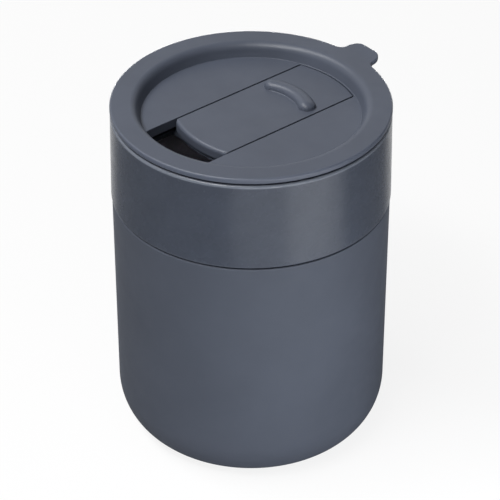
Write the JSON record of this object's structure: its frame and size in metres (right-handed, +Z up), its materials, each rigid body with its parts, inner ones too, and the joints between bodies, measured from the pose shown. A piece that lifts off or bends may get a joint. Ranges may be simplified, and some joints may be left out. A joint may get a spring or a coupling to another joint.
{
  "type": "ceramic travel mug",
  "caption": "Ceramic travel mug: a glazed cup in a silicone sleeve, closed by a press-in lid with a pull tab and a slider that opens and shuts the drink hole.",
  "frame": {"origin": "centre of the flat base that the mug stands on", "axes": "+Z up along the cup's axis, -Y towards the drink hole, +Y towards the lid's pull tab"},
  "size_m": [0.0894, 0.0947, 0.1199],
  "materials": {
    "slate_glaze": "glossy slate glaze",
    "slate_silicone": "matte slate silicone",
    "lid_plastic": "fine matte slate moulding",
    "gasket_silicone": "soft slate silicone",
    "slider_plastic": "fine matte slate moulding"
  },
  "bodies": {
    "mug": {"ceramic_cup": "slate_glaze", "silicone_sleeve": "slate_silicone"},
    "seal": {"lid_gasket": "gasket_silicone"},
    "lid": {"lid_cover": "lid_plastic", "lid_base": "lid_plastic"},
    "slider": {"slider": "slider_plastic"}
  },
  "joints": [
    {"name": "lid_lift", "type": "slide", "parent": "mug", "child": "seal", "axis": [0, 0, 1], "range_m": [0, 0.05]},
    {"name": "lid_turn", "type": "hinge", "parent": "seal", "child": "lid", "pos_m": [0, 0, 0.11], "axis": [0, 0, 1], "continuous": true},
    {"name": "slider_slide", "type": "slide", "parent": "lid", "child": "slider", "axis": [0, -1, 0], "range_m": [0, 0.011]}
  ]
}
